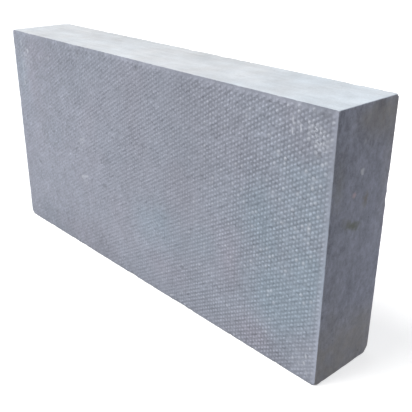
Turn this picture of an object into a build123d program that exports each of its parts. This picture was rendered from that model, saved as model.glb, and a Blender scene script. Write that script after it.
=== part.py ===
from build123d import *
import os

# Concrete flush kerb: one cast block with a square section and no upstand or batter.
# Millimetres, +Z up. The kerb stands on its bedding face, as it is laid.
# Origin: centre of the bedding face. +X runs along the kerb line, end face to end face,
# and the studded front face looks to -Y.

LENGTH = 500.0     # X, butt end to butt end
THICKNESS = 80.0   # Y, studded front face to plain back face
HEIGHT = 250.0     # Z, bedding face to top face

ARRIS_END = 1.2    # radius of the four upright edges, between the end faces and the long faces
ARRIS_TOP = 1.0    # radius of the four edges round the top face
ARRIS_BED = 1.0    # radius of the four edges round the bedding face

# The plain rectangular section, run along the kerb line.
section = Rectangle(THICKNESS, HEIGHT, align=(Align.CENTER, Align.MIN))
block = extrude(Plane.YZ.offset(-LENGTH / 2) * section, LENGTH)

# The arrises left by the mould: upright edges first, then the rims of the bed and the top.
block = fillet(block.edges().filter_by(Axis.Z), ARRIS_END)
block = fillet(block.faces().sort_by(Axis.Z)[0].edges(), ARRIS_BED)
block = fillet(block.faces().sort_by(Axis.Z)[-1].edges(), ARRIS_TOP)

kerb_block = block.solid()
kerb_block.label = "kerb_block"

box = kerb_block.bounding_box()
print("size", box.size, "lowest", box.min.Z, "volume", kerb_block.volume)

os.makedirs("parts", exist_ok=True)
export_step(kerb_block, "parts/kerb_block.step")
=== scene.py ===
import math

import bpy
import numpy as np
from mathutils import Matrix, Vector
from mathutils.geometry import delaunay_2d_cdt


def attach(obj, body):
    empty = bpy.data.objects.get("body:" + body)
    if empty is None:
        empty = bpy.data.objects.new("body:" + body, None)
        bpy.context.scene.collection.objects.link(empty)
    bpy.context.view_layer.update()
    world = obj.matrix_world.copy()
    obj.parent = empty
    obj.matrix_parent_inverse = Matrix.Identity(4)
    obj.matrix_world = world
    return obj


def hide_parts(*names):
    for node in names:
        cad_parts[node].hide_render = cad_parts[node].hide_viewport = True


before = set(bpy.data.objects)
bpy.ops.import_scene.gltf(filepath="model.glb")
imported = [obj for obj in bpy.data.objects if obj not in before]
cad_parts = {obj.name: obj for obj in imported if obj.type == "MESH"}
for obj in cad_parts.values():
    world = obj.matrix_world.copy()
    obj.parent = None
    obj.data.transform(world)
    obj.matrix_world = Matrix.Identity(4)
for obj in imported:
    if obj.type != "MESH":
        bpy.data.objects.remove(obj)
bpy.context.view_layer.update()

# ---------------------------------------------------------------------------
# Driving sizes, millimetres, in the part's own frame:
# X along the kerb, Y from the studded front (-) to the back (+), Z up.
# ---------------------------------------------------------------------------
LENGTH, THICK, HEIGHT = 500.0, 80.0, 250.0
STUD_H = 0.60                 # how far a full stud stands out of the face
FRONT = -THICK / 2 + STUD_H   # the plane between the studs
ARRIS = 0.8                   # radius of the edges
COLS, ROWS = 134, 56          # studs along the face and up it
EDGE_X, EDGE_TOP, EDGE_LOW = 1.4, 1.5, 1.4    # plain margin round the studs
PITCH_X = (LENGTH - 2 * EDGE_X) / (COLS + 1 / 3)
PITCH_Z = (HEIGHT - EDGE_TOP - EDGE_LOW) / (ROWS + 0.5)
STEP = 1.7                    # mesh step along the edges
LO = np.array([-LENGTH / 2, FRONT, 0.0])
HI = np.array([LENGTH / 2, THICK / 2, HEIGHT])
RNG = np.random.default_rng(7319)


# ---------------------------------------------------------------------------
# Seeded noise
# ---------------------------------------------------------------------------
def _hash(ix, iy, iz, seed):
    h = (ix.astype(np.int64) * 374761393 + iy.astype(np.int64) * 668265263
         + iz.astype(np.int64) * 2147483647 + seed * 1274126177) & 0xFFFFFFFF
    h = ((h ^ (h >> 13)) * 1274126177) & 0xFFFFFFFF
    h = ((h ^ (h >> 16)) * 2246822519) & 0xFFFFFFFF
    return ((h ^ (h >> 15)) & 0xFFFFFF) / float(0xFFFFFF) * 2.0 - 1.0


def noise(p, size, seed):
    """Smooth value noise from -1 to 1 with features of about that size, in millimetres."""
    q = np.asarray(p, float) / size
    i = np.floor(q).astype(np.int64)
    f = q - i
    f = f * f * f * (f * (f * 6 - 15) + 10)
    out = 0.0
    for dx in (0, 1):
        for dy in (0, 1):
            for dz in (0, 1):
                w = ((f[:, 0] if dx else 1 - f[:, 0])
                     * (f[:, 1] if dy else 1 - f[:, 1])
                     * (f[:, 2] if dz else 1 - f[:, 2]))
                out = out + w * _hash(i[:, 0] + dx, i[:, 1] + dy, i[:, 2] + dz, seed)
    return out


def fbm(p, size, seed, octaves=3):
    total, amp, norm = 0.0, 1.0, 0.0
    for k in range(octaves):
        total = total + amp * noise(p, size / 2**k, seed + 17 * k)
        norm += amp
        amp *= 0.5
    return total / norm


def smooth(a, b, x):
    t = np.clip((x - a) / (b - a), 0, 1)
    return t * t * (3 - 2 * t)


# ---------------------------------------------------------------------------
# The block's mesh. Arrises and corners are a rounded grid; each face inside
# them is filled separately. cube holds each vertex before rounding, which is
# also its place on the unwrapped sheet.
# ---------------------------------------------------------------------------
cube, place, faces, face_side = [], [], [], []
stud_tone_light_and_shade_a, field_a, bloom_a, pit_a = [], [], [], []


def add_vertex(c, p, stud=0.0, fld=0.0, blm=0.0, pit=0.0):
    cube.append(c)
    place.append(p)
    stud_tone_light_and_shade_a.append(stud)
    field_a.append(fld)
    bloom_a.append(blm)
    pit_a.append(pit)
    return len(cube) - 1


def axis_line(lo, hi, step):
    a, b = lo + ARRIS, hi - ARRIS
    n = max(2, round((b - a) / step))
    t = math.tan(math.pi / 8)
    return np.concatenate([[lo, a - ARRIS * t], np.linspace(a, b, n + 1), [b + ARRIS * t, hi]])


lines = [axis_line(LO[k], HI[k], STEP) for k in range(3)]
counts = [len(x) for x in lines]
grid = {}


def rounded(c):
    q = np.clip(c, LO + ARRIS, HI - ARRIS)
    d = np.asarray(c) - q
    n = np.linalg.norm(d)
    return q + d * (ARRIS / n) if n > 1e-9 else np.asarray(c, float)


def grid_vertex(idx):
    v = grid.get(idx)
    if v is None:
        c = np.array([lines[k][idx[k]] for k in range(3)])
        v = grid[idx] = add_vertex(c, rounded(c))
    return v


def add_face(vs, side):
    faces.append(tuple(vs))
    face_side.append(side)


SIDES = [(0, 0), (0, 1), (1, 0), (1, 1), (2, 0), (2, 1)]   # axis, low or high
LEFT, RIGHT, FACE, BACK, BED, TOP = range(6)


def side_axes(a):
    return (1, 2) if a == 0 else (0, 2) if a == 1 else (0, 1)


for side, (a, high) in enumerate(SIDES):
    b, c = side_axes(a)
    nb, nc = counts[b], counts[c]
    for i in range(nb - 1):
        for j in range(nc - 1):
            if 2 <= i < nb - 3 and 2 <= j < nc - 3:
                continue
            vs = []
            for di, dj in ((0, 0), (1, 0), (1, 1), (0, 1)):
                idx = [0, 0, 0]
                idx[a] = counts[a] - 1 if high else 0
                idx[b], idx[c] = i + di, j + dj
                vs.append(grid_vertex(tuple(idx)))
            add_face(vs, side)
# The winding is set right for every side below, once all faces are there.


def rim(side):
    """The vertices on the border of a side's inner rectangle, in order."""
    a, high = SIDES[side]
    b, c = side_axes(a)
    nb, nc = counts[b], counts[c]
    loop = ([(i, 2) for i in range(2, nb - 3)] + [(nb - 3, j) for j in range(2, nc - 3)]
            + [(i, nc - 3) for i in range(nb - 3, 2, -1)] + [(2, j) for j in range(nc - 3, 2, -1)])
    out = []
    for i, j in loop:
        idx = [0, 0, 0]
        idx[a] = counts[a] - 1 if high else 0
        idx[b], idx[c] = i, j
        out.append(grid_vertex(tuple(idx)))
    return out


def triangulate(points, edges=()):
    """Triangles, as rows of three indices into points."""
    got = delaunay_2d_cdt([Vector(p) for p in points], list(edges), [], 0, 1e-6)
    where = [o[0] for o in got[3]]
    return [tuple(where[v] for v in f) for f in got[2]]


# -- plain sides: a loose triangle net with real blowholes in it -------------
def fill_plain(side, spacing, pits):
    """pits: rows of (u, v, radius, depth) on the side, in its own two axes."""
    a, high = SIDES[side]
    b, c = side_axes(a)
    border = rim(side)
    lo2, hi2 = LO[[b, c]] + ARRIS, HI[[b, c]] - ARRIS
    own = np.random.default_rng(100 + side)
    pts = []
    rows = int((hi2[1] - lo2[1]) / (spacing * 0.87))
    for r in range(1, rows):
        v = lo2[1] + (hi2[1] - lo2[1]) * r / rows
        cols = int((hi2[0] - lo2[0]) / spacing)
        for k in range(cols + 1):
            u = lo2[0] + (hi2[0] - lo2[0]) * (k + 0.5 * (r % 2)) / cols
            u += own.uniform(-0.18, 0.18) * spacing
            w = v + own.uniform(-0.18, 0.18) * spacing
            if lo2[0] + 0.45 * spacing < u < hi2[0] - 0.45 * spacing and lo2[1] + 0.4 * spacing < w < hi2[1] - 0.4 * spacing:
                pts.append((u, w))
    pts = np.array(pts)
    for u, v, r, d in pits:
        pts = pts[np.hypot(pts[:, 0] - u, pts[:, 1] - v) > r * 1.5 + 0.8]
    ids, flat = list(border), [tuple(cube[v][[b, c]]) for v in border]

    def put(u, v, depth, pit):
        p = np.zeros(3)
        p[a] = HI[a] if high else LO[a]
        p[b], p[c] = u, v
        q = p.copy()
        q[a] += -depth if high else depth
        ids.append(add_vertex(p, q, pit=pit))
        flat.append((u, v))

    for u, v in pts:
        put(u, v, 0.0, 0.0)
    for u, v, r, d in pits:
        n = 10 if r > 1.0 else 8
        turn = own.uniform(0, 6.28)
        squash = own.uniform(0.70, 1.0)
        lean = own.uniform(0, math.pi)
        for share, deep, dark in ((1.25, 0.0, 0.0), (1.0, 0.14, 0.30), (0.66, 0.80, 0.9)):
            for k in range(n):
                ang = turn + 2 * math.pi * (k + 0.5 * (share == 1.0)) / n
                rr = r * share * (1 + own.uniform(-0.1, 0.1))
                x, y = rr * math.cos(ang), rr * math.sin(ang) * squash
                put(u + x * math.cos(lean) - y * math.sin(lean), v + x * math.sin(lean) + y * math.cos(lean), d * deep, dark)
        put(u, v, d, 1.0)
    for tri in triangulate(flat):
        add_face([ids[t] for t in tri], side)


def scatter_pits(side, number, seed, keep_off=8.0, big=2.2, small=0.45):
    a, _ = SIDES[side]
    b, c = side_axes(a)
    own = np.random.default_rng(seed)
    out = []
    while len(out) < number:
        r = small + (big - small) * own.random() ** 3.0
        u = own.uniform(LO[b] + keep_off, HI[b] - keep_off)
        v = own.uniform(LO[c] + keep_off, HI[c] - keep_off)
        if all(math.hypot(u - x, v - y) > 2.2 * (r + s) + 3 for x, y, s, _ in out):
            out.append((u, v, r, r * own.uniform(0.45, 0.85)))
    return out


fill_plain(LEFT, 5.0, scatter_pits(LEFT, 20, 11, big=1.7))
fill_plain(RIGHT, 4.0, scatter_pits(RIGHT, 12, 12, big=0.95))
fill_plain(BACK, 6.5, scatter_pits(BACK, 80, 13, big=2.4))
fill_plain(BED, 8.0, [])
fill_plain(TOP, 5.0, scatter_pits(TOP, 10, 14, keep_off=7.0, big=0.8))

# -- front: a hexagonal field of round studs inside a plain margin -----------
# Marks on the face are measured in millimetres along from its left edge and down from its top.


def along_down(x, z):
    return np.asarray(x) + LENGTH / 2, HEIGHT - np.asarray(z)


def blob(s, t, at_s, at_t, rs, rt):
    return np.exp(-(((s - at_s) / rs) ** 2 + ((t - at_t) / rt) ** 2))


def stroke(s, t, points, half):
    """1 on a drawn line through the points, fading out at half its width and a bit more."""
    best = np.full(np.shape(s), 1e9)
    for (s0, t0), (s1, t1) in zip(points[:-1], points[1:]):
        ds, dt = s1 - s0, t1 - t0
        k = np.clip(((s - s0) * ds + (t - t0) * dt) / max(ds * ds + dt * dt, 1e-9), 0, 1)
        best = np.minimum(best, np.hypot(s - s0 - k * ds, t - t0 - k * dt))
    return 1 - smooth(0.5 * half, 1.25 * half, best)


# White cement smears that run over studs and gaps: short bars by the top right corner, flecks by the
# top left one, two scuffs left of the middle. Points, half width, strength.
SMEARS = [
    ([(457.1, 13.0), (457.5, 18.4)], 1.10, 0.60), ([(457.1, 22.0), (457.5, 26.6)], 1.05, 0.54),
    ([(457.4, 25.4), (457.5, 26.8)], 1.15, 0.72), ([(465.2, 17.2), (465.8, 22.0)], 1.05, 0.46),
    ([(465.7, 20.8), (465.8, 22.2)], 1.15, 0.70), ([(472.6, 13.2), (473.4, 15.2)], 1.30, 0.36),
    ([(487.4, 34.9), (491.6, 33.6)], 0.95, 0.34),
    ([(19.6, 11.6), (19.0, 16.4)], 1.70, 0.36), ([(17.2, 22.0), (16.6, 26.0)], 1.70, 0.30),
    ([(25.8, 16.8), (25.6, 19.4)], 1.60, 0.28), ([(34.6, 21.4), (34.3, 23.6)], 1.60, 0.70),
    ([(27.0, 25.0), (25.6, 28.4)], 1.50, 0.42), ([(19.6, 36.0), (18.9, 41.6)], 1.60, 0.34),
    ([(32.9, 31.6), (32.7, 33.8)], 1.70, 0.36), ([(26.0, 38.6), (25.6, 41.4)], 1.70, 0.34),
    ([(61.8, 25.0), (61.0, 28.6)], 1.60, 0.26), ([(67.4, 22.6), (67.1, 25.0)], 1.60, 0.30),
    ([(82.5, 22.0), (82.2, 24.4)], 1.80, 0.36), ([(19.0, 61.4), (18.7, 63.4)], 1.80, 0.50),
    ([(141.0, 109.0), (144.6, 107.6), (149.6, 107.0)], 1.80, 0.34), ([(136.0, 118.0), (138.0, 122.5)], 1.60, 0.22),
    ([(137.7, 156.5), (143.7, 153.8), (152.2, 152.0)], 1.90, 0.40), ([(140.5, 112.5), (147.5, 114.5)], 3.80, 0.13),
    ([(142.2, 158.9), (150.2, 160.9)], 4.00, 0.16),
    ([(487.6, 222.0), (488.0, 224.6)], 1.30, 0.55), ([(486.2, 230.5), (486.6, 232.4)], 1.30, 0.62),
    ([(478.5, 233.0), (481.5, 236.5)], 1.10, 0.26), ([(489.5, 238.5), (490.5, 243.0)], 1.10, 0.30),
    ([(473.0, 231.0), (474.0, 233.5)], 1.20, 0.32), ([(301.0, 246.0), (307.0, 243.6)], 1.10, 0.40),
]

# Studs with a white top, one by one: along, down, strength.
WHITE_STUDS = [
    (478.2, 16.3, 0.28), (482.1, 15.5, 0.37), (477.3, 19.5, 0.31), (484.2, 17.3, 0.38), (480.3, 21.8, 0.25),
    (484.9, 20.3, 0.37), (484.0, 23.2, 0.51), (480.4, 23.7, 0.30), (473.3, 25.4, 0.34), (473.2, 14.8, 0.25),
    (479.1, 13.2, 0.22), (489.2, 23.2, 0.38), (492.0, 24.5, 0.38), (488.7, 26.3, 0.45), (490.8, 19.6, 0.32),
    (487.4, 17.5, 0.26), (491.7, 28.9, 0.38), (483.3, 29.0, 0.41), (480.4, 31.0, 0.53), (483.7, 32.9, 0.36),
    (480.3, 34.7, 0.45), (481.1, 38.6, 0.57), (488.5, 44.1, 0.60), (491.0, 41.4, 0.50), (472.5, 53.3, 0.60),
    (460.8, 19.6, 0.50), (451.2, 48.7, 0.70), (481.6, 103.1, 0.72), (466.4, 104.9, 0.52), (473.7, 100.2, 0.50),
    (480.7, 96.4, 0.48), (466.7, 113.5, 0.46), (481.9, 113.6, 0.46), (480.5, 66.4, 0.55), (488.6, 62.3, 0.48),
    (480.4, 57.7, 0.48), (442.6, 44.2, 0.50), (440.2, 81.3, 0.42), (465.9, 76.1, 0.42), (450.4, 105.7, 0.40),
    (32.6, 22.0, 0.65), (39.5, 18.6, 0.38), (25.3, 26.7, 0.50), (29.7, 29.7, 0.45), (41.5, 32.8, 0.38),
    (17.5, 44.5, 0.42), (31.4, 39.3, 0.44), (19.3, 13.5, 0.42), (18.5, 57.6, 0.46), (19.7, 63.7, 0.55),
]


def smear_at(s, t, narrow=1.0):
    out = np.zeros(np.shape(s))
    for points, half, strength in SMEARS:
        out = np.maximum(out, strength * stroke(s, t, points, half * narrow))
    return out


# Shallow round blowholes: along, down, radius, depth.
HOLES = [(253.8, 8.8, 4.6, 0.6), (147.3, 9.2, 4.6, 0.6), (187.4, 155.0, 5.0, 0.6), (39.0, 164.3, 4.2, 0.6),
         (323.0, 204.0, 2.6, 0.6), (485.0, 119.5, 2.2, 0.5), (158.0, 212.0, 2.2, 0.4), (361.0, 233.0, 1.9, 0.5),
         (54.0, 245.0, 2.2, 0.5), (226.0, 45.0, 1.8, 0.4), (404.0, 121.0, 1.7, 0.4), (488.0, 6.5, 2.8, 0.4),
         (485.2, 39.0, 1.8, 0.5)]


def hole_at(s, t):
    out = np.zeros(np.shape(s))
    for at_s, at_t, r, d in HOLES:
        out = np.maximum(out, d * (1 - smooth(0.25 * r, r, np.hypot(s - at_s, t - at_t))))
    return out


cells = {}
for col in range(COLS):
    x = -LENGTH / 2 + EDGE_X + PITCH_X * (col + 2 / 3)
    for row in range(ROWS):
        cells[(col, 2 * row + col % 2)] = (x, HEIGHT - EDGE_TOP - PITCH_Z * (0.5 + 0.5 * (col % 2) + row))
keys = list(cells)
index = {k: n for n, k in enumerate(keys)}
centre = np.array([cells[k] for k in keys])
c3 = np.column_stack([centre[:, 0], np.zeros(len(centre)), centre[:, 1]])
fs, ft = along_down(centre[:, 0], centre[:, 1])


def strength_at(s, t):
    """How clearly the studs came out of the mould: full on the right, soft on the left, hardly there at the lower left."""
    k = np.interp(s, [0, 76, 110, 162, 240, 288, 319, 374, 421, 466, 500],
                  [0.15, 0.20, 0.28, 0.35, 0.45, 0.52, 0.58, 0.77, 0.98, 1.12, 1.12])
    k = k * (1 - np.interp(s, [0, 106, 148, 229, 330], [0.86, 0.82, 0.48, 0.12, 0.0]) * smooth(105, 155, t))
    k = k * (1 - 0.36 * blob(s, t, 452, 185, 70, 45)) * (1 - 0.10 * blob(s, t, 330, 160, 80, 55))
    k = k * (1 - 0.36 * blob(s, t, 480, 22, 30, 26)) * (1 - 0.22 * (1 - smooth(2, 10, t)))
    k = k * (1 - 0.15 * blob(s, t, 384, 178, 40, 35)) * (1 - 0.12 * blob(s, t, 464, 88, 36, 40))
    k = k * (1 - 0.48 * blob(s, t, 488, 230, 26, 26)) * (1 - 0.32 * smooth(485, 496, s))
    at = np.column_stack([s, np.zeros(len(s)), t])
    patchy = 0.16 + 0.60 * (1 - smooth(90, 330, s))
    return k * np.clip(1 + 0.16 * fbm(at, 60, 31) + patchy * fbm(at, 20, 47), 0.25, 2.0)


# Some studs are taller, some came out low or not at all.
strength = strength_at(fs, ft)
jitter = RNG.standard_normal(len(keys))
stud_h = STUD_H * np.clip(0.28 + 0.68 * strength, 0.28, 1.0) * np.clip(1 + 0.20 * jitter, 0.4, 1.3)
torn = RNG.random(len(keys)) < 0.035
stud_h[torn] *= RNG.uniform(0.1, 0.55, torn.sum())
stud_h = np.minimum(stud_h, STUD_H)
hole = hole_at(fs, ft)

# Cement bloom on single stud tops, most by the right edge.
luck = RNG.random(len(keys))
b = (0.10 * blob(fs, ft, 474, 28, 18, 18) + 0.24 * blob(fs, ft, 481, 85, 4.0, 55) + 0.12 * blob(fs, ft, 470, 110, 34, 80)
     + 0.16 * blob(fs, ft, 482, 228, 9, 14) + 0.35 * blob(fs, ft, 27, 26, 12, 16) + 0.18 * blob(fs, ft, 20, 60, 8, 30))
bloom = np.clip(b * (0.15 + 1.6 * luck**2.4) + 0.36 * (luck > 0.962) * smooth(150, 430, fs), 0, 1)
bloom[torn] = 0
smeared = np.zeros(len(keys))
for at_s, at_t, amount in WHITE_STUDS:
    one = np.argmin(np.hypot(fs - at_s, ft - at_t))
    smeared[one] = max(smeared[one], amount)
bloom = np.maximum(bloom, smeared)

# Corners of the hexagonal cells, shared by up to three studs.
HX, HX2 = PITCH_X * 2 / 3, PITCH_X / 3
HEX = [(HX, 0), (HX2, PITCH_Z / 2), (-HX2, PITCH_Z / 2), (-HX, 0), (-HX2, -PITCH_Z / 2), (HX2, -PITCH_Z / 2)]
corner_no, corner_at, corner_cells = {}, [], []
cell_corners = []
for n, key in enumerate(keys):
    x, z = cells[key]
    ring = []
    for dx, dz in HEX:
        k = (round((x + dx) * 50), round((z + dz) * 50))
        if k not in corner_no:
            corner_no[k] = len(corner_at)
            corner_at.append((x + dx, z + dz))
            corner_cells.append([])
        ring.append(corner_no[k])
        corner_cells[corner_no[k]].append(n)
    cell_corners.append(ring)
corner_at = np.array(corner_at)
cs, ct = along_down(corner_at[:, 0], corner_at[:, 1])
inner = np.array([len(c) == 3 for c in corner_cells])
corner_h = np.zeros(len(corner_at))

# Paste bridges between a stud and the one below it.
for n, (col, r) in enumerate(keys):
    low = index.get((col, r + 2))
    if low is not None and RNG.random() < 0.05 + 0.06 * strength[n]:
        lift = RNG.uniform(0.35, 0.75) * min(stud_h[n], stud_h[low])
        for q in (cell_corners[n][4], cell_corners[n][5]):
            corner_h[q] = max(corner_h[q], lift)
smear_c = smear_at(cs, ct, 0.72)
around = np.array([max(stud_h[n] for n in c) for c in corner_cells])
corner_h = np.maximum(corner_h, 0.55 * smear_c * around)
corner_white = np.array([max(smeared[n] for n in c) for c in corner_cells]) * (RNG.random(len(corner_at)) < 0.16) * 0.60
hole_c = hole_at(cs, ct)
corner_strength = strength_at(cs, ct)
corner_jit = RNG.standard_normal(len(corner_at))
shift = np.where(inner[:, None], RNG.uniform(-0.24, 0.24, (len(corner_at), 2)), 0.0)


def front_vertex(x, z, out, **kw):
    return add_vertex(np.array([x, FRONT, z]), np.array([x, FRONT - out, z]), fld=1.0, **kw)


# painted shade in the gaps between the studs, weighted more where the studs are low
gap_shade_weight = 1.35 - 0.55 * smooth(200, 430, cs)        # the gaps show more than the tops where the studs are low
corner_id = []
for q, (x, z) in enumerate(corner_at):
    # the hexagon corners between studs get a darker tone: painted shade in the gaps
    gap_shade = -0.215 * corner_strength[q] * smooth(0.10, 0.75, corner_strength[q]) * gap_shade_weight[q] * (1 + 0.45 * corner_jit[q]) * (1 - corner_h[q] / STUD_H) if inner[q] else 0.0
    corner_id.append(front_vertex(x + shift[q, 0], z + shift[q, 1], corner_h[q] - hole_c[q], stud=gap_shade, blm=corner_white[q],
                                  pit=min(1.0, 1.7 * hole_c[q])))

# lighter stud tops: partly random tone from stud to stud, partly painted highlight, stronger towards the right
STUD_TOP_TONE_AND_HIGHLIGHT = np.clip(0.120 + 0.085 * RNG.standard_normal(len(keys)) + 0.08 * fbm(c3, 10, 57), -0.08, 0.34)
STUD_TOP_TONE_AND_HIGHLIGHT[torn] *= 0.2
STUD_TOP_TONE_AND_HIGHLIGHT *= 0.80 + 0.60 * smooth(250, 440, fs)
edge_use = {}
for n, key in enumerate(keys):
    x, z = cells[key]
    jx, jz = RNG.uniform(-0.30, 0.30, 2)
    h, deep, s_ = stud_h[n], hole[n], strength[n]
    wide = (0.46 - 0.09 * smooth(0.6, 1.0, s_)) * (1 + RNG.uniform(-0.20, 0.20))
    stud_top_tone_and_highlight = 0.0 if deep > 0.2 else STUD_TOP_TONE_AND_HIGHLIGHT[n] * s_ * smooth(0.10, 0.75, s_)
    white = bloom[n]
    top = front_vertex(x + jx, z + jz, h - deep, stud=stud_top_tone_and_highlight, blm=white, pit=min(1.0, 1.7 * deep))
    ring = []
    for m, (dx, dz) in enumerate(HEX):
        s = wide * (1 + RNG.uniform(-0.14, 0.14))
        lean = 0.26 * (dx * 0.866 + dz * 0.5)         # drawn out a little along the rising rows
        rx, rz = dx * 0.92 + lean * 0.866, dz * 0.92 + lean * 0.5
        ring.append(front_vertex(x + jx + rx * s, z + jz + rz * s, 0.76 * h - 0.95 * deep,
                                 stud=0.45 * stud_top_tone_and_highlight - 0.012 * s_, blm=0.80 * white, pit=min(1.0, 1.7 * deep)))
    cc = [corner_id[q] for q in cell_corners[n]]
    for m in range(6):
        q = (m + 1) % 6
        add_face((top, ring[m], ring[q]), FACE)
        add_face((ring[m], cc[m], cc[q]), FACE)
        add_face((ring[m], cc[q], ring[q]), FACE)
        e = (min(cc[m], cc[q]), max(cc[m], cc[q]))
        edge_use[e] = edge_use.get(e, 0) + 1

# The plain margin between the field's zigzag outline and the arris.
outline = [e for e, n in edge_use.items() if n == 1]
ids = rim(FACE) + sorted({v for e in outline for v in e})
local = {v: k for k, v in enumerate(ids)}
flat = [(cube[v][0], cube[v][2]) for v in ids]
x0, z0 = cells[(0, 0)]


def in_field(x, z):
    """Whether the lattice cell round this point holds a stud."""
    best = None
    col = round((x - x0) / PITCH_X)
    for cc in (col - 1, col, col + 1):
        half = cc % 2
        row = round((z0 - z) / PITCH_Z - 0.5 * half)
        d = (x - x0 - cc * PITCH_X) ** 2 + (z0 - z - PITCH_Z * (row + 0.5 * half)) ** 2
        if best is None or d < best[0]:
            best = (d, (cc, 2 * row + half))
    return best[1] in index


for tri in triangulate(flat, [(local[p], local[q]) for p, q in outline]):
    mx = sum(flat[t][0] for t in tri) / 3
    mz = sum(flat[t][1] for t in tri) / 3
    if not in_field(mx, mz):
        add_face([ids[t] for t in tri], FACE)

cube = np.array(cube)
place = np.array(place)
stud_tone_light_and_shade_a, field_a, bloom_a, pit_a = (np.array(x, float) for x in (stud_tone_light_and_shade_a, field_a, bloom_a, pit_a))

# ---------------------------------------------------------------------------
# Broad tone and tint, one value a vertex, with painted light and shade among them
# ---------------------------------------------------------------------------
on_face = cube[:, 1] < FRONT + 1e-6
on_right = cube[:, 0] > HI[0] - 1e-6
on_top = cube[:, 2] > HI[2] - 1e-6
s, t = along_down(cube[:, 0], cube[:, 2])
left_part = 1 - smooth(120, 400, s)
from_front = cube[:, 1] - FRONT
from_end = LENGTH / 2 - np.abs(cube[:, 0])
top_part = on_top * smooth(0.5 * ARRIS, ARRIS, np.minimum(from_front, from_end))
end_part = (from_end < 1e-6) * smooth(0.2 * ARRIS, ARRIS, from_front)
# painted shade on the rounded top-front edge, holding down the light the key lamp puts on it
top_arris_painted_shade = (1 - smooth(0, ARRIS, from_front)) * (1 - smooth(0, ARRIS, HEIGHT - cube[:, 2]))

tone_with_painted_light_a = stud_tone_light_and_shade_a.copy()
# front tone, starting with a painted light gradient: lighter at the left, darker towards the right, on top of what the
# fill lamp gives
front_tone_and_painted_light = (0.045 - 0.100 * smooth(20, 430, s)
              # darker along the bottom, most at the left: painted shade near the floor; the left part is also a little
              # darker near the top
              - left_part * (0.055 * (1 - smooth(12, 75, t)) + 0.130 * smooth(200, 244, t))
              - 0.045 * (1 - left_part) * smooth(215, 244, t)
              + 0.030 * blob(s, t, 20, 40, 14, 45) + 0.060 * blob(s, t, 255, 178, 42, 26) - 0.040 * blob(s, t, 325, 28, 48, 18)
              - 0.040 * blob(s, t, 412, 195, 30, 16) - 0.030 * blob(s, t, 482, 22, 20, 18)
              # a lighter strip along the right edge and its arris: painted light on the plain margin and the rounded
              # edge
              + (0.16 + 0.20 * smooth(50, 150, t) + 0.12 * blob(s, t, 500, 16, 40, 10) - 0.08 * blob(s, t, 500, 40, 40, 10))
              * smooth(495.0, 499.0, s) * (1 + 0.6 * fbm(cube, 9, 305))
              # a painted dark line just under the top edge
              - (0.06 + 0.07 * smooth(150, 420, s)) * (1 - smooth(0.8, 2.8, t))
              - 0.10 * blob(s, t, 488, 6.5, 9, 5) - 0.040 * blob(s, t, 325, 110, 22, 200) + 0.052 * blob(s, t, 378, 120, 20, 50)
              + 0.085 * blob(s, t, 424, 24, 22, 26) - 0.065 * blob(s, t, 480, 26, 18, 30) + 0.035 * blob(s, t, 475, 160, 24, 26) - 0.050 * blob(s, t, 466, 40, 13, 8)
              - 0.035 * blob(s, t, 76, 182, 26, 28) - 0.038 * blob(s, t, 155, 58, 36, 20) - 0.045 * blob(s, t, 46, 16, 36, 14) - 0.045 * blob(s, t, 428, 233, 28, 13)
              + 0.022 * fbm(cube, 45, 301)
              - 0.022 * (1 - smooth(80, 200, s))
              + (1 - 0.8 * smooth(110, 400, s)) * (1 + 0.45 * blob(s, t, 100, 112, 50, 36) + 0.55 * blob(s, t, 275, 175, 46, 36))
              * (0.135 * fbm(cube, 4.2, 311) + 0.080 * np.random.default_rng(77).standard_normal(len(cube))))
tone_with_painted_light_a = tone_with_painted_light_a + on_face * front_tone_and_painted_light - 0.36 * top_arris_painted_shade

# bluish and lilac clouds on the front
cool = (1.28 * blob(s, t, 462, 112, 58, 66) + 0.65 * blob(s, t, 455, 185, 40, 38) + 0.76 * blob(s, t, 288, 172, 38, 28)
        + 0.42 * blob(s, t, 18, 40, 14, 40) + 0.30 * blob(s, t, 355, 165, 22, 18)
        + 0.35 * blob(s, t, 488, 72, 20, 34)) * (1 - 0.40 * smooth(490, 497, s))
lilac = (0.62 * blob(s, t, 428, 230, 28, 16) + 0.45 * blob(s, t, 392, 165, 14, 26) + 0.50 * blob(s, t, 470, 36, 26, 14)
         + 0.40 * blob(s, t, 38, 48, 16, 26) + 0.40 * blob(s, t, 110, 235, 36, 14) + 0.30 * blob(s, t, 60, 20, 50, 14)
         + 0.35 * blob(s, t, 415, 65, 34, 36) + 0.35 * blob(s, t, 285, 215, 40, 18) + 0.30 * blob(s, t, 150, 150, 46, 30))
wild = fbm(cube, 34, 401)
cool_a = np.where(on_face, np.clip(cool * (1 + 0.5 * wild) + 0.15 * np.clip(wild, 0, 1), 0, 1), 0.25 * np.clip(fbm(cube, 60, 402), 0, 1))
lilac_a = np.where(on_face, np.clip(lilac * (1 - 0.5 * wild) + 0.22 * np.clip(-wild, 0, 1), 0, 1), 0.25 * np.clip(fbm(cube, 50, 403), 0, 1))

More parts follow.
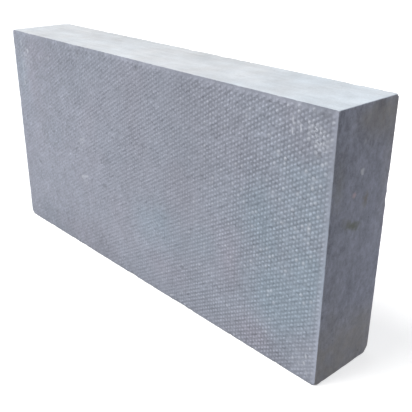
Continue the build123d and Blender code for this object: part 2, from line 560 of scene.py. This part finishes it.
# right end: a little lighter to the back and at mid height, darker near the base as painted shade, brownish above,
# below and in one smear
u, d = cube[:, 1] + THICK / 2, HEIGHT - cube[:, 2]
end_tone_and_painted_shade = (0.100 * (u / THICK - 0.5) + 0.085 * blob(u, d, 70, 115, 16, 60) - 0.080 * (1 - smooth(8, 70, d)) - 0.045 * smooth(215, 248, d)
            + 0.05 * blob(u, d, 45, 140, 40, 50) - 0.05 * blob(u, d, 6, 35, 10, 30)
            + 0.05 * smooth(62, 72, u) - 0.05 * blob(u, d, 56, 15, 18, 13) - 0.05 * blob(u, d, 72, 246, 22, 16)
            + (1 - 0.5 * smooth(150, 220, d)) * (0.12 * fbm(cube * [1, 1, 0.6], 26, 321)
                                                 + (0.11 + 0.08 * (1 - smooth(20, 110, d))) * fbm(cube * [1, 1, 0.55], 9, 322)))
tone_with_painted_light_a = tone_with_painted_light_a + on_right * end_tone_and_painted_shade
brown = (1.10 * blob(u, d, 62, 15, 22, 16) + 0.70 * blob(u, d, 42, 14, 16, 10) + 1.10 * smooth(172, 228, d)
         + 0.60 * blob(u, d, 76, 48, 8, 55) + 0.30 * blob(u, d, 14, 185, 14, 40))
brown_a = on_right * np.clip(brown * (0.85 + 0.6 * fbm(cube, 22, 331)), 0, 1)
brown_a = np.maximum(brown_a, np.where(on_face | on_top | on_right, 0.0, 0.45 * np.clip(fbm(cube, 70, 341) + 0.1, 0, 1)))

# top: cooler towards the right end
cool_a = np.where(on_top & ~on_face, np.clip(0.22 + 0.58 * smooth(330, 460, s) + 0.35 * fbm(cube, 60, 351) + 0.42 * fbm(cube, 20, 352)
                                             + 0.60 * blob(s, u, 421, 61, 20, 12), 0, 1), cool_a)
tone_with_painted_light_a = tone_with_painted_light_a + (on_top & ~on_face) * (0.048 * fbm(cube, 40, 361) + 0.085 * fbm(cube, 22, 362) + 0.035 * fbm(cube, 10, 363) - 0.015 * smooth(380, 500, s)
                                         - 0.022 - 0.012 * smooth(28, 44, from_front) - 0.060 * blob(s, u, 458, 12, 44, 16) - 0.035 * blob(s, u, 220, 14, 30, 12)
                                         - 0.070 * blob(s, u, 330, 70, 34, 11) - 0.050 * blob(s, u, 385, 49, 20, 9)
                                         - 0.045 * blob(s, u, 421, 61, 18, 10) - 0.030 * blob(s, u, 120, 45, 60, 12))

# ---------------------------------------------------------------------------
# Unevenness and wear, as small moves of the vertices
# ---------------------------------------------------------------------------
mid = (LO + HI) / 2
inset = np.minimum(cube - LO, HI - cube)               # distance to each pair of sides
near = np.sort(inset, axis=1)                          # nearest side first
edge_gap = near[:, 1]                                  # distance to the nearest arris

# gentle waviness of the cast faces, always inwards
away = np.zeros_like(place)
for k in range(3):
    for e, (pos, sgn) in enumerate(((LO[k], 1.0), (HI[k], -1.0))):
        on = np.clip(1 - np.abs(place[:, k] - pos) / (ARRIS * 1.01), 0, 1)
        wave = 0.5 + 0.5 * fbm(place, 85, 61 + 3 * k + e)
        away[:, k] += sgn * on * wave * (0.28 if k != 2 or e else 0.0)
place = place + away

# worn arrises: the edge runs back a little more here and there
edge_w = 1 - smooth(0.0, 3.4, edge_gap)
run = fbm(place, 16, 91) + 0.55 * fbm(place, 5.5, 92)
wear_amount = edge_w * np.clip(run - 0.08, 0, None) * 1.0
pull = np.sign(mid - place) * (inset < 3.4)
pull = pull / np.maximum(np.linalg.norm(pull, axis=1, keepdims=True), 1e-9)
place = place + pull * wear_amount[:, None]

# knocked corners and chips: what stands past a slanted plane is taken back to it
chips = [
    # point on the broken face, its outward direction, roughness
    ((-250 + 1.9, FRONT + 1.0, 2.2), (-1.0, -0.45, -0.95), 0.4),     # lower left front corner
    ((-250 + 0.8, FRONT + 1.0, 4.2), (-1.0, -0.35, -0.35), 0.3),
    ((-250 + 4.6, FRONT + 1.0, 0.9), (-0.35, -0.35, -1.0), 0.3),
    ((250 - 1.4, 40 - 2.2, 2.4), (0.5, 1.0, -0.85), 0.5),            # lower right back corner
    ((250 - 0.8, 40 - 0.9, 5.4), (0.35, 1.0, -0.35), 0.3),
    ((250 - 0.8, 40 - 5.2, 0.9), (0.35, 0.35, -1.0), 0.3),
    ((-250 + 2.6, 40 - 2.4, 250 - 1.4), (-0.8, 0.8, 0.5), 0.5),      # upper left back corner
    ((250 - 1.0, FRONT + 1.0, 250 - 1.2), (0.8, -0.7, 0.75), 0.35),  # upper right front corner
    ((250 - 1.2, 40 - 1.1, 250 - 1.1), (0.7, 0.7, 0.7), 0.3),
    ((-250 + 1.0, FRONT + 1.0, 250 - 0.9), (-0.7, -0.7, 0.6), 0.3),
    ((250 - 1.1, FRONT + 1.1, 1.7), (0.8, -0.7, -0.9), 0.4),
    ((-250 + 1.8, 40 - 2.0, 2.0), (-0.8, 0.8, -0.8), 0.5),
]
broken = np.zeros(len(place))
for point, n, rough in chips:
    n = np.array(n) / np.linalg.norm(n)
    dist = (place - np.array(point)) @ n + rough * 0.6 * fbm(place, 3.0, 131)
    hit = np.clip(dist, 0, None) * (np.linalg.norm(place - np.array(point), axis=1) < 22)
    place = place - n * hit[:, None]
    broken = np.maximum(broken, np.clip(hit / 0.6, 0, 1))

chip_list = []
own = np.random.default_rng(5)
for y, z in ((FRONT, HEIGHT), (THICK / 2, HEIGHT), (FRONT, 0.0), (THICK / 2, 0.0)):
    for _ in range(8):
        chip_list.append((np.array([own.uniform(-240, 240), y, z]), own.uniform(1.2, 2.8)))
for x in (-LENGTH / 2, LENGTH / 2):
    for y in (FRONT, THICK / 2):
        for _ in range(4):
            chip_list.append((np.array([x, y, own.uniform(15, 235)]), own.uniform(1.2, 2.4)))
    for _ in range(2):
        chip_list.append((np.array([x, own.uniform(-30, 30), HEIGHT]), own.uniform(1.2, 2.2)))
for at, size in chip_list:
    inward = np.sign(mid - at) * (np.abs(np.abs(at - mid) - (HI - LO) / 2) < 1)
    inward = inward / np.linalg.norm(inward)
    ball = at - inward * size * 0.55
    r = np.linalg.norm(place - ball, axis=1)
    reach = size * (1 + 0.18 * noise(place, 2.0, 211))
    hit = np.clip(reach - r, 0, None)
    place = place + inward * hit[:, None]
    broken = np.maximum(broken, np.clip(hit / 0.5, 0, 1))

place = np.clip(place, [-LENGTH / 2, -THICK / 2, 0.0], [LENGTH / 2, THICK / 2, HEIGHT])

# ---------------------------------------------------------------------------
# Mesh object
# ---------------------------------------------------------------------------
mesh = bpy.data.meshes.new("kerb_concrete")
mesh.from_pydata((place * 0.001).tolist(), [], faces)
mesh.update()

# outward winding on every side
side_of = np.array(face_side)
normals = np.zeros(len(faces) * 3, np.float32)
mesh.polygons.foreach_get("normal", normals)
normals = normals.reshape(-1, 3)
out_axis = np.array([a for a, _ in SIDES])[side_of]
out_sign = np.array([1.0 if h else -1.0 for _, h in SIDES])[side_of]
facing = normals[np.arange(len(faces)), out_axis] * out_sign
turned = [f[::-1] if facing[i] < 0 else f for i, f in enumerate(faces)]
mesh.clear_geometry()
mesh.from_pydata((place * 0.001).tolist(), [], turned)
mesh.update()
mesh.polygons.foreach_set("use_smooth", np.ones(len(turned), bool))


def attribute(name, values):
    a = mesh.attributes.new(name, "FLOAT", "POINT")
    a.data.foreach_set("value", np.asarray(values, np.float32))


attribute("tone", tone_with_painted_light_a)
attribute("field", field_a)
attribute("bloom", bloom_a)
attribute("pit", pit_a)
attribute("wear", np.clip(np.maximum(wear_amount * 1.1, broken), 0, 1))
attribute("broken", broken)
attribute("cool", cool_a)
attribute("lilac", lilac_a)
attribute("brown", brown_a)
attribute("top", top_part)
attribute("end", end_part)

# one flat sheet per side for the bake
uv = mesh.uv_layers.new(name="OFBake")
SHEET = 672.0
spots = {FACE: (0, 2, 2.0, 2.0), BACK: (0, 2, 2.0, 256.0), TOP: (0, 1, 2.0, 510.0),
         BED: (1, 0, 506.0, 2.0), RIGHT: (1, 2, 590.0, 2.0), LEFT: (1, 2, 590.0, 256.0)}
loop_side = np.repeat(side_of, [len(f) for f in turned])
loop_vert = np.concatenate([np.array(f) for f in turned])
uvs = np.zeros((len(loop_vert), 2))
for sheet, (ua, va, u0, v0) in spots.items():
    on = loop_side == sheet
    p = cube[loop_vert[on]]
    uvs[on, 0] = (p[:, ua] - LO[ua] + u0) / SHEET
    uvs[on, 1] = (p[:, va] - LO[va] + v0) / SHEET
uv.data.foreach_set("uv", uvs.astype(np.float32).ravel())

kerb = bpy.data.objects.new("kerb_concrete", mesh)
bpy.context.scene.collection.objects.link(kerb)


# ---------------------------------------------------------------------------
# Concrete
# ---------------------------------------------------------------------------
mat = bpy.data.materials.new("cast_concrete")
mat.use_nodes = True
nt = mat.node_tree
nt.nodes.clear()
N, K = nt.nodes.new, nt.links.new


def val(socket, x):
    if isinstance(x, bpy.types.NodeSocket):
        K(x, socket)
    else:
        socket.default_value = x


def math_node(op, a, b=None, clamp=False):
    n = N("ShaderNodeMath")
    n.operation = op
    n.use_clamp = clamp
    val(n.inputs[0], a)
    if b is not None:
        val(n.inputs[1], b)
    return n.outputs[0]


def add(*xs):
    out = xs[0]
    for x in xs[1:]:
        out = math_node("ADD", out, x)
    return out


def mul(*xs):
    out = xs[0]
    for x in xs[1:]:
        out = math_node("MULTIPLY", out, x)
    return out


def mix_rgb(fac, a, b, mode="MIX"):
    n = N("ShaderNodeMix")
    n.data_type = "RGBA"
    n.blend_type = mode
    n.clamp_factor = True
    val(n.inputs[0], fac)
    val(n.inputs[6], a)
    val(n.inputs[7], b)
    return n.outputs[2]


def ramp(x, lo, hi, a=0.0, b=1.0):
    n = N("ShaderNodeMapRange")
    n.interpolation_type = "SMOOTHSTEP"
    val(n.inputs["Value"], x)
    n.inputs["From Min"].default_value = lo
    n.inputs["From Max"].default_value = hi
    n.inputs["To Min"].default_value = a
    n.inputs["To Max"].default_value = b
    return n.outputs["Result"]


coords = N("ShaderNodeTexCoord").outputs["Object"]


def mapped(scale, shift=(0.0, 0.0, 0.0)):
    n = N("ShaderNodeMapping")
    n.vector_type = "POINT"
    K(coords, n.inputs["Vector"])
    n.inputs["Scale"].default_value = scale
    n.inputs["Location"].default_value = shift
    return n.outputs["Vector"]


def tex_noise(scale, detail=3.0, rough=0.55, vec=None, distort=0.0):
    n = N("ShaderNodeTexNoise")
    n.noise_dimensions = "3D"
    K(vec if vec is not None else coords, n.inputs["Vector"])
    n.inputs["Scale"].default_value = scale
    n.inputs["Detail"].default_value = detail
    n.inputs["Roughness"].default_value = rough
    n.inputs["Distortion"].default_value = distort
    return n.outputs["Fac"]


def tex_voronoi(scale, vec=None, rand=1.0):
    n = N("ShaderNodeTexVoronoi")
    n.feature = "F1"
    K(vec if vec is not None else coords, n.inputs["Vector"])
    n.inputs["Scale"].default_value = scale
    n.inputs["Randomness"].default_value = rand
    return n


def attr(name):
    n = N("ShaderNodeAttribute")
    n.attribute_type = "GEOMETRY"
    n.attribute_name = name
    return n.outputs["Fac"]


tone_and_painted_light, fld, blm, pit, wear, brk, cool_f, lilac_f, brown_f, top_mask, end_mask = (
    attr(x) for x in ("tone", "field", "bloom", "pit", "wear", "broken", "cool", "lilac", "brown", "top", "end"))
not_field = math_node("SUBTRACT", 1.0, fld)
not_top = math_node("SUBTRACT", 1.0, top_mask)

# tone: broad, cloudy, mottled, sandy; drawn streaks
broad = tex_noise(9.0, 2.0, 0.5)
cloud = tex_noise(38.0, 4.0, 0.6)
mottle = tex_noise(115.0, 4.0, 0.65, distort=0.15)
blotch = tex_noise(330.0, 3.0, 0.6)
sand = tex_noise(620.0, 3.0, 0.7)
grit = tex_noise(1700.0, 2.0, 0.6)
end_mottle = tex_noise(1.0, 4.0, 0.65, mapped((125.0, 125.0, 96.0)), distort=0.1)   # drawn out upright, on the ends
end_blotch = tex_noise(1.0, 3.0, 0.6, mapped((330.0, 330.0, 265.0)))
streak_v = tex_noise(1.0, 4.0, 0.65, mapped((150.0, 150.0, 16.0)), distort=0.25)   # upright, on the ends and back
streak_h = tex_noise(1.0, 3.0, 0.6, mapped((10.0, 190.0, 190.0)))                 # along the top
wipe = tex_noise(1.0, 3.0, 0.6, mapped((26.0, 70.0, 70.0)), distort=0.5)          # broad wiping on the top

tone = add(1.0, tone_and_painted_light,
           ramp(broad, 0.3, 0.7, -0.025, 0.025),
           mul(ramp(cloud, 0.25, 0.75, -0.050, 0.050), ramp(mul(cool_f, fld), 0.0, 1.0, 1.0, 0.3)),
           mul(add(ramp(mottle, 0.28, 0.72, -0.038, 0.038), ramp(blotch, 0.28, 0.72, -0.038, 0.038)),
               ramp(end_mask, 0.0, 1.0, 1.0, 0.0), ramp(top_mask, 0.0, 1.0, 1.0, 0.35)),
           mul(add(ramp(end_mottle, 0.28, 0.72, -0.14, 0.14), ramp(end_blotch, 0.28, 0.72, -0.14, 0.14)), end_mask,
               ramp(brown_f, 0.2, 1.0, 1.0, 0.5)),
           ramp(sand, 0.25, 0.75, -0.055, 0.055),
           ramp(grit, 0.25, 0.75, -0.045, 0.045),
           mul(ramp(streak_v, 0.3, 0.7, -0.045, 0.045), not_field, not_top, ramp(end_mask, 0.0, 1.0, 1.0, 0.5)),
           mul(add(ramp(streak_h, 0.3, 0.7, -0.035, 0.035), ramp(wipe, 0.3, 0.7, -0.045, 0.04)), top_mask))

base = mix_rgb(ramp(tex_noise(13.0, 2.0, 0.5), 0.35, 0.65), (0.448, 0.4665, 0.549, 1), (0.440, 0.4685, 0.553, 1))
base = mix_rgb(mul(cool_f, 0.95), base, (0.416, 0.497, 0.590, 1))
base = mix_rgb(mul(lilac_f, 0.8), base, (0.474, 0.462, 0.550, 1))
# the right end gets a darker, slightly bluer colour: painted shade on the face turned away from the lamps
base = mix_rgb(mul(end_mask, 0.90), base, (0.372, 0.388, 0.474, 1))
base = mix_rgb(mul(brown_f, ramp(mottle, 0.3, 0.7, 0.6, 1.0)), base, (0.405, 0.392, 0.394, 1))
# the top gets a lighter, more neutral colour: painted light on the face the lamps light most
top_colour_painted_light = mix_rgb(cool_f, (0.590, 0.607, 0.628, 1), (0.582, 0.634, 0.686, 1))
base = mix_rgb(top_mask, base, top_colour_painted_light)

scale_tone = N("ShaderNodeVectorMath")
scale_tone.operation = "SCALE"
K(base, scale_tone.inputs[0])
K(tone, scale_tone.inputs["Scale"])
colour = scale_tone.outputs[0]


rag = tex_noise(260.0, 3.0, 0.6)
rag_fine = tex_noise(520.0, 3.0, 0.65)


def reach(at, size, turn=0.0, tilt=0.0):
    """Distance from a point, 1 on an ellipsoid of that half size; millimetres, turned about Y and tilted about X."""
    n = N("ShaderNodeMapping")
    n.vector_type = "TEXTURE"
    K(coords, n.inputs["Vector"])
    n.inputs["Location"].default_value = [q * 0.001 for q in at]
    n.inputs["Rotation"].default_value = (tilt, turn, 0.0)
    n.inputs["Scale"].default_value = [q * 0.001 for q in size]
    m = N("ShaderNodeVectorMath")
    m.operation = "LENGTH"
    K(n.outputs["Vector"], m.inputs[0])
    return m.outputs["Value"]


def fleck(at, size, core, rim, tilt=0.0, wobble=0.35):
    """1 inside a small ragged spot, fading out between core and rim; at and size in millimetres."""
    return ramp(add(reach(at, size, 0.0, tilt), ramp(rag, 0.25, 0.75, -wobble, wobble)), core, rim, 1.0, 0.0)


# marks on the right end: pale flecks, a pinkish one, brown and olive smears
for at, size, core, rim_, tilt, amount, tint in (
        ((250, -0.9, 193.4), (4, 2.4, 3.4), 0.4, 1.2, 0.0, 0.80, (0.72, 0.74, 0.79, 1)),
        ((250, -9.0, 175.0), (4, 3.3, 2.9), 0.3, 1.2, 0.0, 0.80, (0.68, 0.56, 0.62, 1)),
        ((250, 3.9, 160.0), (4, 4.4, 4.2), 0.1, 1.3, 0.0, 0.40, (0.55, 0.575, 0.64, 1)),
        ((250, 7.9, 167.2), (4, 4.4, 7.0), 0.1, 1.3, 0.0, 0.72, (0.32, 0.295, 0.26, 1)),
        ((250, -10.0, 148.0), (4, 13.0, 4.6), 0.0, 1.3, -0.31, 0.85, (0.245, 0.26, 0.225, 1)),
        ((250, -2.5, 145.6), (4, 8.0, 4.8), 0.0, 1.3, -0.31, 0.75, (0.225, 0.24, 0.215, 1)),
        ((250, -17.0, 153.6), (4, 8.5, 4.4), 0.0, 1.3, -0.31, 0.35, (0.29, 0.28, 0.26, 1)),
        ((250, -1.0, 218.7), (4, 2.2, 2.6), 0.3, 1.2, 0.0, 0.40, (0.58, 0.60, 0.65, 1)),
        ((250, -30.5, 188.0), (4, 8.0, 26.0), 0.0, 1.4, 0.0, 0.34, (0.30, 0.305, 0.27, 1))):
    colour = mix_rgb(mul(fleck(at, size, core, rim_, tilt), amount), colour, tint)

# white cement: bloom on single studs, smears over several
speck = ramp(tex_noise(420.0, 2.0, 0.6), 0.34, 0.6, 0.55, 1.0)
white = mul(blm, speck)
fray = ramp(rag_fine, 0.25, 0.75, -0.32, 0.32)
for points, half, amount in SMEARS:
    for (s0, t0), (s1, t1) in zip(points[:-1], points[1:]):
        at = ((s0 + s1) / 2 - LENGTH / 2, -THICK / 2, HEIGHT - (t0 + t1) / 2)
        size = (math.hypot(s1 - s0, t1 - t0) / 2 + 0.95 * half, 12.0, 0.95 * half)
        edge = add(reach(at, size, math.atan2(t1 - t0, s1 - s0)), fray)
        white = math_node("MAXIMUM", white, ramp(edge, 0.60, 1.12, amount, 0.0))
lace = math_node("ABSOLUTE", math_node("SUBTRACT", tex_noise(230.0, 1.0, 0.5, distort=0.2), 0.5))
lace_zone = ramp(add(reach((232.6, -40.0, 227.0), (14.5, 30.0, 8.0), math.atan2(20, 17)), mul(fray, 0.9)), 0.55, 1.15, 1.0, 0.0)
white = math_node("MAXIMUM", white, mul(ramp(lace, 0.022, 0.084, 0.84, 0.0), lace_zone, ramp(rag_fine, 0.40, 0.58, 0.25, 1.0)))
colour = mix_rgb(white, colour, (0.80, 0.83, 0.90, 1))

# lighter worn arrises; blowholes darkened with painted shade
colour = mix_rgb(mul(wear, ramp(tex_noise(240.0, 3.0, 0.6), 0.3, 0.6, 0.1, 0.5)), colour, (0.56, 0.58, 0.64, 1))
colour = mix_rgb(mul(pit, 0.42), colour, (0.22, 0.23, 0.26, 1))

# pinholes too small to model: dots of painted shade, also pressed into the bump
pin = tex_voronoi(150.0)
pin_size = ramp(tex_noise(31.0, 2.0, 0.6), 0.50, 0.80, 0.01, 0.085)
pin_mask = mul(math_node("LESS_THAN", pin.outputs["Distance"], pin_size), not_field)
colour = mix_rgb(mul(pin_mask, 0.35), colour, (0.22, 0.23, 0.25, 1))

shader = N("ShaderNodeBsdfPrincipled")
K(colour, shader.inputs["Base Color"])
shader.inputs["Specular IOR Level"].default_value = 0.28
K(ramp(tex_noise(55.0, 4.0, 0.6), 0.3, 0.7, 0.74, 0.92), shader.inputs["Roughness"])

# surface: sand grain everywhere, rougher on broken places, drawn lines on the top
bump_h = add(mul(sand, 0.55), mul(grit, 0.25), mul(tex_noise(150.0, 3.0, 0.6), 0.9),
             mul(brk, tex_noise(380.0, 4.0, 0.75), 5.0), mul(top_mask, streak_h, 1.2))
bump_h = math_node("SUBTRACT", bump_h, mul(pin_mask, 1.6))
bump = N("ShaderNodeBump")
bump.inputs["Strength"].default_value = 0.55
bump.inputs["Distance"].default_value = 0.0003
K(bump_h, bump.inputs["Height"])
K(bump.outputs["Normal"], shader.inputs["Normal"])
out = N("ShaderNodeOutputMaterial")
K(shader.outputs["BSDF"], out.inputs["Surface"])
mesh.materials.append(mat)

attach(kerb, "root")
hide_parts("kerb_block")

# ---------------------------------------------------------------------------
# Stage: a pale floor that sweeps up all round, soft light from above and the front left
# ---------------------------------------------------------------------------
profile = [(0.0, 0.0), (0.6, 0.0), (1.2, 0.0), (2.0, 0.0), (3.0, 0.0)]
for k in range(1, 13):
    w = math.radians(90 * k / 12)
    profile.append((3.0 + 2.5 * math.sin(w), 2.5 * (1 - math.cos(w))))
profile.append((5.5, 6.0))
TURN = 72
sweep_v = [(0.0, 0.0, 0.0)]
sweep_f = []
for r, z in profile[1:]:
    for k in range(TURN):
        w = 2 * math.pi * k / TURN
        sweep_v.append((r * math.cos(w), r * math.sin(w), z))
for k in range(TURN):
    sweep_f.append((0, 1 + k, 1 + (k + 1) % TURN))
for ring_no in range(len(profile) - 2):
    a0, b0 = 1 + ring_no * TURN, 1 + (ring_no + 1) * TURN
    for k in range(TURN):
        q = (k + 1) % TURN
        sweep_f.append((a0 + k, b0 + k, b0 + q, a0 + q))
floor_mesh = bpy.data.meshes.new("floor")
floor_mesh.from_pydata(sweep_v, [], sweep_f)
floor_mesh.update()
floor_mesh.polygons.foreach_set("use_smooth", np.ones(len(sweep_f), bool))
floor = bpy.data.objects.new("floor", floor_mesh)
bpy.context.scene.collection.objects.link(floor)
fm = bpy.data.materials.new("pale_floor")
fm.use_nodes = True
fb = fm.node_tree.nodes["Principled BSDF"]
fb.inputs["Base Color"].default_value = (0.70, 0.70, 0.70, 1)
fb.inputs["Roughness"].default_value = 0.95
fb.inputs["Specular IOR Level"].default_value = 0.1
fb.inputs["Emission Color"].default_value = (1.0, 1.0, 1.0, 1)
fb.inputs["Emission Strength"].default_value = 0.58
floor_mesh.materials.append(fm)
floor.visible_diffuse = False
floor.visible_shadow = False

world = bpy.data.worlds.new("studio")
bpy.context.scene.world = world
world.use_nodes = True
wt = world.node_tree
wt.nodes.clear()
wc = wt.nodes.new("ShaderNodeTexCoord")
ws = wt.nodes.new("ShaderNodeSeparateXYZ")
wr = wt.nodes.new("ShaderNodeMapRange")
wr.interpolation_type = "SMOOTHSTEP"
wr.inputs["From Min"].default_value = -0.25
wr.inputs["From Max"].default_value = 0.35
wm = wt.nodes.new("ShaderNodeMix")
wm.data_type = "RGBA"
wm.inputs[6].default_value = (0.18, 0.183, 0.19, 1)
wm.inputs[7].default_value = (0.46, 0.468, 0.485, 1)
wb = wt.nodes.new("ShaderNodeBackground")
wo = wt.nodes.new("ShaderNodeOutputWorld")
wt.links.new(wc.outputs["Generated"], ws.inputs[0])
wt.links.new(ws.outputs["Z"], wr.inputs["Value"])
wt.links.new(wr.outputs["Result"], wm.inputs[0])
wt.links.new(wm.outputs[2], wb.inputs["Color"])
wt.links.new(wb.outputs["Background"], wo.inputs["Surface"])


def lamp(name, kind, at, to, tint):
    light = bpy.data.lights.new(name, kind)
    light.color = tint
    o = bpy.data.objects.new(name, light)
    o.location = at
    o.rotation_mode = "QUATERNION"
    o.rotation_quaternion = (Vector(to) - Vector(at)).to_track_quat("-Z", "Y")
    bpy.context.scene.collection.objects.link(o)
    return light


key = lamp("key", "SUN", (-0.75, -1.0, 2.2), (0, 0, 0.12), (1.0, 0.988, 0.972))
key.energy = 2.7
key.angle = math.radians(32)
fill = lamp("fill", "AREA", (-1.05, -1.0, 0.55), (-0.1, 0.0, 0.12), (1.0, 0.99, 0.985))
fill.shape = "DISK"
fill.size = 0.7
fill.energy = 1.4

cam_data = bpy.data.cameras.new("camera")
cam_data.sensor_fit = "HORIZONTAL"
cam_data.sensor_width = 36.0
cam_data.lens = 56.686
cam_data.clip_start, cam_data.clip_end = 0.01, 60.0
cam = bpy.data.objects.new("camera", cam_data)
az, el, roll = math.radians(47.336), math.radians(23.837), math.radians(0.362)
back = Vector((math.sin(az) * math.cos(el), -math.cos(az) * math.cos(el), math.sin(el)))
level = Vector((0, 0, 1)).cross(back).normalized()
upright = back.cross(level)
right = level * math.cos(roll) + upright * math.sin(roll)
up = upright * math.cos(roll) - level * math.sin(roll)
cam.matrix_world = Matrix((
    (right.x, up.x, back.x, 0.52178),
    (right.y, up.y, back.y, -0.42107),
    (right.z, up.z, back.z, 0.37654),
    (0, 0, 0, 1)))
bpy.context.scene.collection.objects.link(cam)
bpy.context.scene.camera = cam

scene = bpy.context.scene
scene.view_settings.view_transform = "Standard"
scene.view_settings.look = "None"
scene.cycles.use_denoising = True
